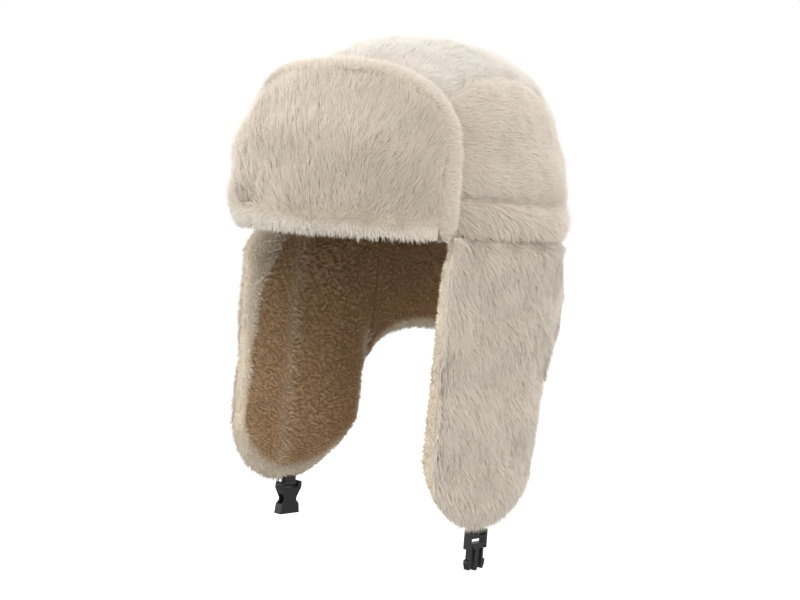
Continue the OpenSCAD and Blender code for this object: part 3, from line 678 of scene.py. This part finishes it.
# The pile is shorter in the fringe, beside the roll and at the wearer's right end.
pile = mix(FRINGE_PILE, VISOR_PILE, ease(4, 16, bottom)) * mix(0.5, 1, trim) * mix(1, 0.55, far_end)
lean = mix(0.8, 1.7, ease(6, 22, bottom)) * np.maximum(0.15, np.abs(2 * fold - 1))
lean = lean * mix(0.35, 1, trim) * mix(1, 1.3, far_end)
# Its rim paints the fringe pale, a painted light from below.
face = fur_cloth("visor_face_fur", skin, visor_sheet(np.full_like(w, FACE_IN), w, t), nap, pile, FACE_HAIRS,
                 shaded_brushed_plush, seed=5, lean=lean, clump=0.45, swirl=0.2,
                 rim=1 - ease(hem - 8, hem + 5, bottom), crease=np.maximum(seam_line, parting_shade))
finish_padded(face, ["visor_face"], "fur_front", 0.7, "crown", "visor", VISOR_HINGE, VISOR_BENT)

sheet = [visor_sheet(np.full_like(w, off), w, t)[::2, ::2] for off in (STIFF_IN + STIFF_T, STIFF_IN)]
stiff = new_piece("visor_stiffener_felt", np.concatenate(sheet).reshape(-1, 3),
                  grid_faces(*sheet[0].shape[:2]), wadding)
finish_padded(stiff, ["visor_stiffener"], "wadding", 0.2, "crown", "visor", VISOR_HINGE, VISOR_BENT)

BACK_PILE = 4.0
skin = visor_sheet(mix(STIFF_IN - BACK_HEM, VISOR_IN + BACK_PILE, np.minimum(under, seam)), w, t)[:, ::-1]
backing = visor_sheet(np.full_like(w, STIFF_IN - BACK_OFF), w, t)[:, ::-1]
piece = fur_cloth("visor_back_fur", skin, backing, np.array([0.0, 0.0, 1.0]), BACK_PILE, BACK_HAIRS,
                  lit_smooth_plush, seed=6)
finish_padded(piece, ["visor_back"], "fur_side", 0.6, "crown", "visor", VISOR_HINGE, VISOR_BENT)

# The roll's path runs up the left end, over the top and down the right end. Its section is an oval, which
# closes at both ends.
ROLL_PILE = 3.4
ROLL_CORE, ROLL_HOLLOW = (6.8, 4.8), (1.0, 1.2)
ROLL_TILT = 0.42
inset = ROLL_W / 2 + 1
low = -math.asin((VISOR_DROP / (HEAD_Z + ROLL_MID)) ** (DOME_POWER / 2))
left_top, right_top = (float(visor_top(end, inset)) for end in (1, -1))
over = np.linspace(0, np.pi, 121)
path_w = np.concatenate([np.ones(20), np.cos(over), -np.ones(20)])
path_e = np.concatenate([np.linspace(low, left_top, 21)[:-1], visor_top(np.cos(over), inset),
                         np.linspace(right_top, low, 21)[1:]])
path_a = -np.pi / 2 + path_w * visor_span(inset)
middle = dome(ROLL_MID, path_a, path_e)
facing = unit(dome(ROLL_MID + 1, path_a, path_e) - middle)
inward = unit(np.cross(facing, np.gradient(middle, axis=0)))
closing = np.sqrt(np.maximum(0.02, 1 - np.abs(np.linspace(-1, 1, len(middle))) ** 90))[:, None, None]
q = np.linspace(0, 2 * np.pi, 33)[:, None]


def roll(wide, deep):
    """Roll round the visor's edge: an oval of the given half width and half depth carried along the path,
    tilted so that it slopes from the face down to the crown."""
    return middle[:, None] + closing * (inward[:, None] * wide * np.cos(q)
                                        + facing[:, None] * (deep * np.sin(q) + ROLL_TILT * wide * np.cos(q)))


skin = roll(*ROLL_CORE)
piece = fur_cloth("visor_edge_fur", skin, roll(*ROLL_HOLLOW), np.gradient(skin, axis=1), ROLL_PILE,
                  ROLL_HAIRS, shaded_side_plush, seed=7, clump=0.12, swirl=0.3, endless=True)
finish_padded(piece, ["visor_edge_roll"], "fur_front", 0.8, "crown", "visor", VISOR_HINGE, VISOR_BENT)


# Neck flap: cream plush outside, a lining of curly brown plush inside and wadding between the two.
# It is sewn to the crown's lower seam round the back, between the ear flaps, and has the same layers as they.
FLAP_SEAM, FLAP_OUT = 10.3, 21.6
WAD_IN, WAD_OUT = 8.3, 12.3
FLAP_PILE, LINING_PILE = 4.4, 4.6
SHELL_RIM, RIM_PILE = 2.8, 1.7
LAYER_GAP = 0.3
SKIN_GAP, BACK_GAP = 0.3, 0.1
POCKET = (0.93, 0.985)
NECK_HEM, NECK_TOP, NECK_SIDES = 16, 8, 16
NECK_HAIRS, NECK_LINING_HAIRS = 30000, 20000
DOWN = np.array([0, 0, -1.0])
NECK_LEN, NECK_FILLET = 77, 40
FLAP_REAR, FLAP_REAR_LOW = 48, 46
NECK_SIDE = FLAP_REAR + 0.4
SEAM_GAP = 0.3


def neck_flap(off, w, t):
    """Neck flap round the back of the head: w runs from its left end to its right one, t down from the seam.
    Its lower edge falls on a quarter circle towards the ear flaps."""
    start = np.arcsin(NECK_SIDE / (HEAD_Y + off))
    angle = mix(start, np.pi - start, (w + 1) / 2)
    y = (HEAD_Y + off) * np.sin(angle)
    short = np.minimum(y - FLAP_REAR_LOW - NECK_FILLET, 0)
    low = -NECK_LEN - NECK_FILLET + np.sqrt(np.maximum(0, NECK_FILLET ** 2 - short ** 2))
    return np.stack([(HEAD_X + off) * np.cos(angle), y, mix(-SEAM_GAP, low, t)], axis=-1)


brown_plush = plush("brown_plush_lining", "#62482e", "#bd9a72", "#ebcfa9", "#f2e5cf", spread=0.2)
w, t = np.meshgrid(-np.cos(np.linspace(0, np.pi, 120)), np.cos(np.linspace(0, np.pi / 2, 36)))
plan = neck_flap(np.full_like(w, FLAP_SEAM), w, t)
full = fullness(plan, bottom=NECK_HEM, top=NECK_TOP)
# The layers stand apart round the wadding, and lie together at the seams.
pocket = ease(*POCKET, fullness(plan, bottom=NECK_HEM, top=NECK_TOP, left=NECK_SIDES, right=NECK_SIDES))
trim = ease(2, 18, edge_distance(plan)[0])
skin = neck_flap(mix(FLAP_SEAM + SKIN_GAP, FLAP_OUT - FLAP_PILE + lumps(plan, 35), full), w, t)
backing = neck_flap(mix(FLAP_SEAM + BACK_GAP, WAD_OUT + LAYER_GAP, pocket), w, t)
piece = fur_cloth("neck_flap_fur", skin, backing, DOWN, mix(SHELL_RIM, FLAP_PILE, full), NECK_HAIRS,
                  shaded_side_plush, seed=8)
finish_padded(piece, ["neck_flap_shell"], "fur_side", 0.6, "crown")

# Its lining has a row of stitches a little above the hem, where the wadding is quilted to it.
# Their crease in the pile is painted darker, a painted shade.
HEM_STITCH, HEM_DIP, THREAD_PULL = 12.0, 1.6, 2.2
RIM_LEAN, CURL_LEAN = 1.2, 0.15
CURLY = {"tuft": 3.2, "clump": 0.95, "swirl": 2.0}
hem = edge_distance(plan)[0]
stitch = np.exp(-((hem - HEM_STITCH) / THREAD_PULL) ** 2)
skin = neck_flap(mix(FLAP_SEAM - SKIN_GAP, LINING_PILE + HEM_DIP * stitch, full), w, t)[:, ::-1]
backing = neck_flap(mix(FLAP_SEAM - BACK_GAP, WAD_IN - LAYER_GAP, pocket), w, t)[:, ::-1]
pale = 0.9 * (1 - ease(3, 10, hem))
piece = fur_cloth("neck_flap_lining_fur", skin, backing, DOWN, mix(RIM_PILE, LINING_PILE, trim)[:, ::-1],
                  NECK_LINING_HAIRS, brown_plush, seed=9, lean=mix(RIM_LEAN, CURL_LEAN, trim)[:, ::-1],
                  rim=pale[:, ::-1], crease=0.25 * stitch[:, ::-1], **CURLY)
finish_padded(piece, ["neck_flap_lining"], "fur_lining", 0.6, "crown")


# Ear flaps: long tongues of plush, wadding and brown plush lining, sewn to the crown's lower seam on each
# side. Outside and lining meet in a seam along the flap's edge, which shows as a crease in the fur.
FLAP_LEN = -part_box("ear_flap_left_shell")[0].z / MM
FLAP_FRONT, FLAP_ROUND = 66, 46
FLAP_TOP_FLAT, FLAP_FLAT = 0.8, 24
FLAP_SWELL, REAR_TAPER = 7, 6
SWELL_TOP = 7.4
FLAP_SLANT, FLAP_LEAN = 0.035, 0.005
FOLD_X = next(j for j in frame["joints"] if j["name"] == "ear_flap_left_fold")["pos_m"][0] / MM
FOLD_IN = math.radians(6)
FLAP_BENT = 45
EDGE_SEAM = 14.0
# Widths over which the padding fills out from the round end, the long edges and the seam with the crown.
FLAP_END_ROUND, FLAP_SIDE_ROUND = 17, 15
FLAP_TOP_REAR, FLAP_TOP_FRONT, FLAP_POCKET_TOP = 7, 2.5, 10
FLAP_NAP = np.array([0, -0.12, -1.0])
FAR_OFF = 99
TURN_TOP, TURN_LOW = 24, 12
STITCH_ROW, STITCH_DIP = 9.0, 3.0
RIDGE_Y, RIDGE_W, RIDGE_H = -28, 7, 2.6
SHELL_HAIRS = {"left": 42000, "right": 34000}
FLAP_LINING_HAIRS = 36000


def flap_rear(z):
    """Rear edge of an ear flap: below the neck flap it runs in on a quarter circle and tapers a little."""
    low = -NECK_LEN - NECK_FILLET
    over = np.maximum(z - low, 0)
    curve = FLAP_REAR_LOW + NECK_FILLET - np.sqrt(np.maximum(0, NECK_FILLET ** 2 - over ** 2))
    taper = FLAP_REAR_LOW - REAR_TAPER * ease(low, -FLAP_LEN, z) ** 2
    return np.minimum(FLAP_REAR, np.where(z < low, taper, curve))


def flap_front(z):
    """Front edge of an ear flap, which swells forward below the visor and runs straight down from there."""
    return -FLAP_FRONT - FLAP_SWELL * ease(SWELL_TOP, 3 * SWELL_TOP, -z) * (1 + z / FLAP_LEN)


def ear_flap(off, w, t):
    """Left ear flap: w runs from its front edge to its rear one, t down from the seam to its round end.
    At the seam it follows the head's curve and lower down it is nearly flat."""
    low = -FLAP_LEN + FLAP_ROUND * (1 - np.sqrt(np.maximum(0, 1 - w ** 2)))
    y = mix(flap_front(low * t), flap_rear(low * t), (w + 1) / 2)
    flat = mix(FLAP_TOP_FLAT, 1, ease(0, FLAP_FLAT, -low * t)) * (1 - ease(0, FLAP_REAR, y))
    wall = (HEAD_X + off) * np.sqrt(1 - (y / (HEAD_Y + off)) ** 2)
    x = mix(wall, HEAD_X + off, flat)
    z = mix(-SEAM_GAP - (FOLD_X - x) * math.tan(FOLD_IN), low, t)
    return np.stack([x + FLAP_LEAN * z, y + FLAP_SLANT * z, z], axis=-1)


w, t = np.meshgrid(-np.cos(np.linspace(0, np.pi, 80)), np.cos(np.linspace(0, np.pi / 2, 90)))
plan = ear_flap(np.full_like(w, FLAP_SEAM), w, t)
bottom, top, front, rear = edge_distance(plan)
drop = -plan[..., 2]
free = ease(NECK_LEN - 12, NECK_LEN + 20, drop)
full = fullness(plan, bottom=FLAP_END_ROUND, left=FLAP_SIDE_ROUND)
full = np.minimum(full, mix(1, fullness(plan, right=FLAP_SIDE_ROUND), free))
full = np.minimum(full, mix(fullness(plan, top=FLAP_TOP_REAR), fullness(plan, top=FLAP_TOP_FRONT),
                            ease(0, 40, -plan[..., 1])))
pocket = ease(*POCKET, fullness(plan, bottom=FLAP_END_ROUND, top=FLAP_POCKET_TOP, left=FLAP_SIDE_ROUND,
                                right=FLAP_SIDE_ROUND))
# The seam lies towards the outside of the edge. The fur parts along it in short puckers, which are painted
# darker as painted shade.
along_seam = np.random.default_rng(36)
pucker = mix(0.3, 1, ease(-0.4, 1.0, ripple(plan, 15, along_seam)))
pucker = pucker * mix(0.15, 1, ease(55, 85, drop) * (1 - ease(150, 180, drop)))
# Beside the neck flap, the rear edge counts as far away.
edge = np.minimum(np.minimum(front, bottom), mix(FAR_OFF, rear, free))
trim = ease(2, 18, edge)
# Both creases darken the shell's hairs: painted shade in the seam and in the puckers of the stitch row.
seam_crease = (1 - ease(0.5, 2.5, edge)) * pucker
row_crease = np.exp(-((front - STITCH_ROW - 1.5 * ripple(plan, 24, along_seam)) / 2.0) ** 2) * pucker
seam_off = mix(FLAP_SEAM, EDGE_SEAM, 1 - ease(6, 14, edge))
swollen = FLAP_OUT - FLAP_PILE + lumps(plan, 37) - STITCH_DIP * row_crease
shell_skin = ear_flap(mix(seam_off + SKIN_GAP, swollen, full), w, t)
shell_back = ear_flap(mix(seam_off + BACK_GAP, WAD_OUT + LAYER_GAP, pocket), w, t)
# The lining has one soft fold down it, whose crest is painted paler as a painted highlight, and its pile
# is cream where the cloth turns over the flap's edge.
ridge = np.exp(-((plan[..., 1] + FLAP_SLANT * drop - RIDGE_Y) / RIDGE_W) ** 2)
lining_skin = ear_flap(mix(seam_off - SKIN_GAP, LINING_PILE - RIDGE_H * ridge, full), w, t)
lining_back = ear_flap(mix(seam_off - BACK_GAP, WAD_IN - LAYER_GAP, pocket), w, t)
turned = mix(TURN_TOP, TURN_LOW, ease(15, 60, drop)) + 0.8 * ripple(plan, 22, along_seam)
pale = np.maximum.reduce([1 - ease(turned - 3, turned + 4, front), 1 - ease(5, 18, bottom),
                          0.9 * free * (1 - ease(6, 18, rear)), 0.38 * ridge])
wad_w, wad_t = np.meshgrid(-np.cos(np.linspace(0.24, 0.76, 40) * np.pi), np.linspace(0.84, 0.07, 40))
wad_out, wad_in = (ear_flap(np.full_like(wad_w, off), wad_w, wad_t) for off in (WAD_OUT, WAD_IN))
for name, place, side, seed in (("left", np.array, 1, 10), ("right", mirrored, -1, 20)):
    bend = ("crown", f"ear_flap_{name}", [side * FOLD_X, 0, 0], [side * FOLD_X, 0, -FLAP_BENT])
    # A mirrored grid has its columns turned round, and so has the lining, which faces the other way.
    outer_cols, inner_cols = slice(None, None, side), slice(None, None, -side)
    shell = fur_cloth(f"ear_flap_{name}_fur", place(shell_skin), place(shell_back), FLAP_NAP,
                      mix(SHELL_RIM, FLAP_PILE, full)[:, outer_cols], SHELL_HAIRS[name], shaded_side_plush, seed,
                      lean=1.5, clump=0.15, swirl=0.16,
                      crease=1.2 * np.maximum(seam_crease, row_crease)[:, outer_cols])
    finish_padded(shell, [f"ear_flap_{name}_shell"], "fur_side", 0.6, *bend)
    inside = fur_cloth(f"ear_flap_{name}_lining_fur", place(lining_skin)[:, ::-1],
                       place(lining_back)[:, ::-1], DOWN, mix(RIM_PILE, LINING_PILE, trim)[:, inner_cols],
                       FLAP_LINING_HAIRS, brown_plush, seed + 1,
                       lean=mix(RIM_LEAN, CURL_LEAN, trim)[:, inner_cols], rim=pale[:, inner_cols], **CURLY)
    finish_padded(inside, [f"ear_flap_{name}_lining"], "fur_lining", 0.6, *bend)
    pad = np.concatenate([place(wad_out), place(wad_in)]).reshape(-1, 3)
    filling = new_piece(f"ear_flap_{name}_padding", pad, grid_faces(*wad_w.shape), wadding)
    finish_padded(filling, [f"ear_flap_{name}_wadding"], "wadding", 0.5, *bend)


# Chin straps: black polyester webbing, woven flat with close cross ribs.
# Each is doubled round the bar of its half of the buckle and sewn into the flap's end.
STRAP_W, STRAP_T = 12.5, 1.2
STRAP_UP = 17.2
LOOP_TOP = 3.4
LOOP_START, LOOP_END = 125, 415
BAR_R, BAR_GAP, PLY_GAP = 1.3, 0.1, 0.02
RIB = 1.1


def webbing_black(name, dark, light, rib):
    """Woven black polyester webbing: close cross ribs with a faint silky shine on their crowns."""
    material, tree = blank(name)
    place = add_node(tree, "ShaderNodeTexCoord").outputs["Object"]
    weft, warp = [add_node(tree, "ShaderNodeTexWave", {"Vector": place, "Scale": math.pi / 10 / (size * MM)},
                           bands_direction=axis).outputs["Fac"]
                  for axis, size in (("Z", rib), ("Y", rib / 1.6))]
    weave = add_node(tree, "ShaderNodeMath", {0: weft, 1: warp}, operation="MULTIPLY").outputs[0]
    colour = add_node(tree, "ShaderNodeValToRGB", {"Fac": weave})
    colour.color_ramp.elements[0].color, colour.color_ramp.elements[1].color = linear(dark), linear(light)
    bump = add_node(tree, "ShaderNodeBump", {"Height": weave, "Strength": 0.7, "Distance": 0.25 * MM})
    bsdf = add_node(tree, "ShaderNodeBsdfPrincipled", {"Base Color": colour.outputs[0], "Roughness": 0.55,
                                                       "Normal": bump.outputs[0]})
    add_node(tree, "ShaderNodeOutputMaterial", {"Surface": bsdf.outputs[0]})
    return material


webbing = webbing_black("woven_black_webbing", "#0c0c0d", "#2c2c2f", RIB)
bar = {joint["name"]: np.array(joint["pos_m"]) / MM for joint in frame["joints"]}
loop = np.radians(np.linspace(LOOP_START, LOOP_END, 40))
loop_r = BAR_R + BAR_GAP + STRAP_T / 2
ply = np.linspace(STRAP_UP, LOOP_TOP, 24)
apart = STRAP_T / 2 + PLY_GAP
path = np.concatenate([np.stack([np.full_like(ply, -apart), ply], axis=-1),
                       loop_r * np.stack([np.cos(loop), np.sin(loop)], axis=-1),
                       np.stack([np.full_like(ply, apart), ply[::-1]], axis=-1)])
along = unit(np.gradient(path, axis=0))
out = np.stack([along[:, 1], -along[:, 0]], axis=-1)
y = np.linspace(-0.5, 0.5, 19) * STRAP_W
# The webbing is thinner along its two woven edges.
thick = STRAP_T / 2 * np.sqrt(1 - 0.75 * (2 * np.abs(y) / STRAP_W) ** 12)


def strap_side(way):
    """One face of the doubled webbing: its path in the X-Z plane moved out by half its thickness, along Y."""
    x, z = (path[:, None, i] + way * out[:, None, i] * thick for i in (0, 1))
    return np.stack([x, np.broadcast_to(y, x.shape), z], axis=-1)


for name, joint, place in (("left", "plug_swing", np.array), ("right", "socket_swing", mirrored)):
    centre = bar[joint]
    faces = [place(strap_side(way)) + centre for way in (1, -1)]
    piece = new_piece(f"chin_strap_{name}", np.concatenate(faces).reshape(-1, 3),
                      grid_faces(*faces[0].shape[:2]), webbing)
    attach(piece, f"ear_flap_{name}")
    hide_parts(f"strap_{name}")


# Buckle: a plug with two springy prongs and the socket that they snap into, each hung on a strap by its bar.
# They are injection-moulded in black acetal, with softly rounded edges.
EDGE_ROUND = 0.35
SHARP_EDGE = math.radians(35)


def moulded_plastic(name, colour, grain):
    """Injection-moulded acetal: black, with a fine spark-eroded grain that breaks its soft gloss."""
    material, tree = blank(name)
    place = add_node(tree, "ShaderNodeTexCoord").outputs["Object"]
    texture, wear = [add_node(tree, "ShaderNodeTexNoise", {"Vector": place, "Scale": 1 / (size * MM),
                                                           "Detail": detail}).outputs["Fac"]
                     for size, detail in ((grain, 3.0), (12 * grain, 2.0))]
    rough = add_node(tree, "ShaderNodeMapRange", {0: wear, 1: 0.3, 2: 0.7, 3: 0.34, 4: 0.5}).outputs[0]
    tone = add_node(tree, "ShaderNodeValToRGB", {"Fac": wear})
    tone.color_ramp.elements[0].color, tone.color_ramp.elements[1].color = linear("#0b0b0c"), linear(colour)
    bump = add_node(tree, "ShaderNodeBump", {"Height": texture, "Strength": 0.25, "Distance": 0.05 * MM})
    bsdf = add_node(tree, "ShaderNodeBsdfPrincipled", {"Base Color": tone.outputs[0], "Roughness": rough,
                                                       "IOR": 1.48, "Normal": bump.outputs[0]})
    add_node(tree, "ShaderNodeOutputMaterial", {"Surface": bsdf.outputs[0]})
    return material


acetal = moulded_plastic("moulded_black_acetal", "#1b1b1d", grain=0.5)
for node, body in (("buckle_plug", "buckle_plug"), ("buckle_prong_front", "prong_front"),
                   ("buckle_prong_rear", "prong_rear"), ("buckle_socket", "buckle_socket")):
    solid = bmesh.new()
    solid.from_mesh(frame["nodes"][node].data)
    bmesh.ops.remove_doubles(solid, verts=solid.verts, dist=1e-6)
    bmesh.ops.dissolve_limit(solid, angle_limit=math.radians(1), verts=solid.verts, edges=solid.edges)
    mesh = bpy.data.meshes.new(f"{node}_moulding")
    solid.to_mesh(mesh)
    solid.free()
    mesh.materials.append(acetal)
    mesh.shade_smooth()
    mesh.set_sharp_from_angle(angle=SHARP_EDGE)
    piece = bpy.data.objects.new(mesh.name, mesh)
    bpy.context.scene.collection.objects.link(piece)
    rounding = piece.modifiers.new("moulded_edges", "BEVEL")
    rounding.width = EDGE_ROUND * MM
    rounding.segments = 3
    rounding.limit_method = "ANGLE"
    rounding.angle_limit = SHARP_EDGE
    rounding.harden_normals = True
    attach(piece, body)
    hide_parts(node)
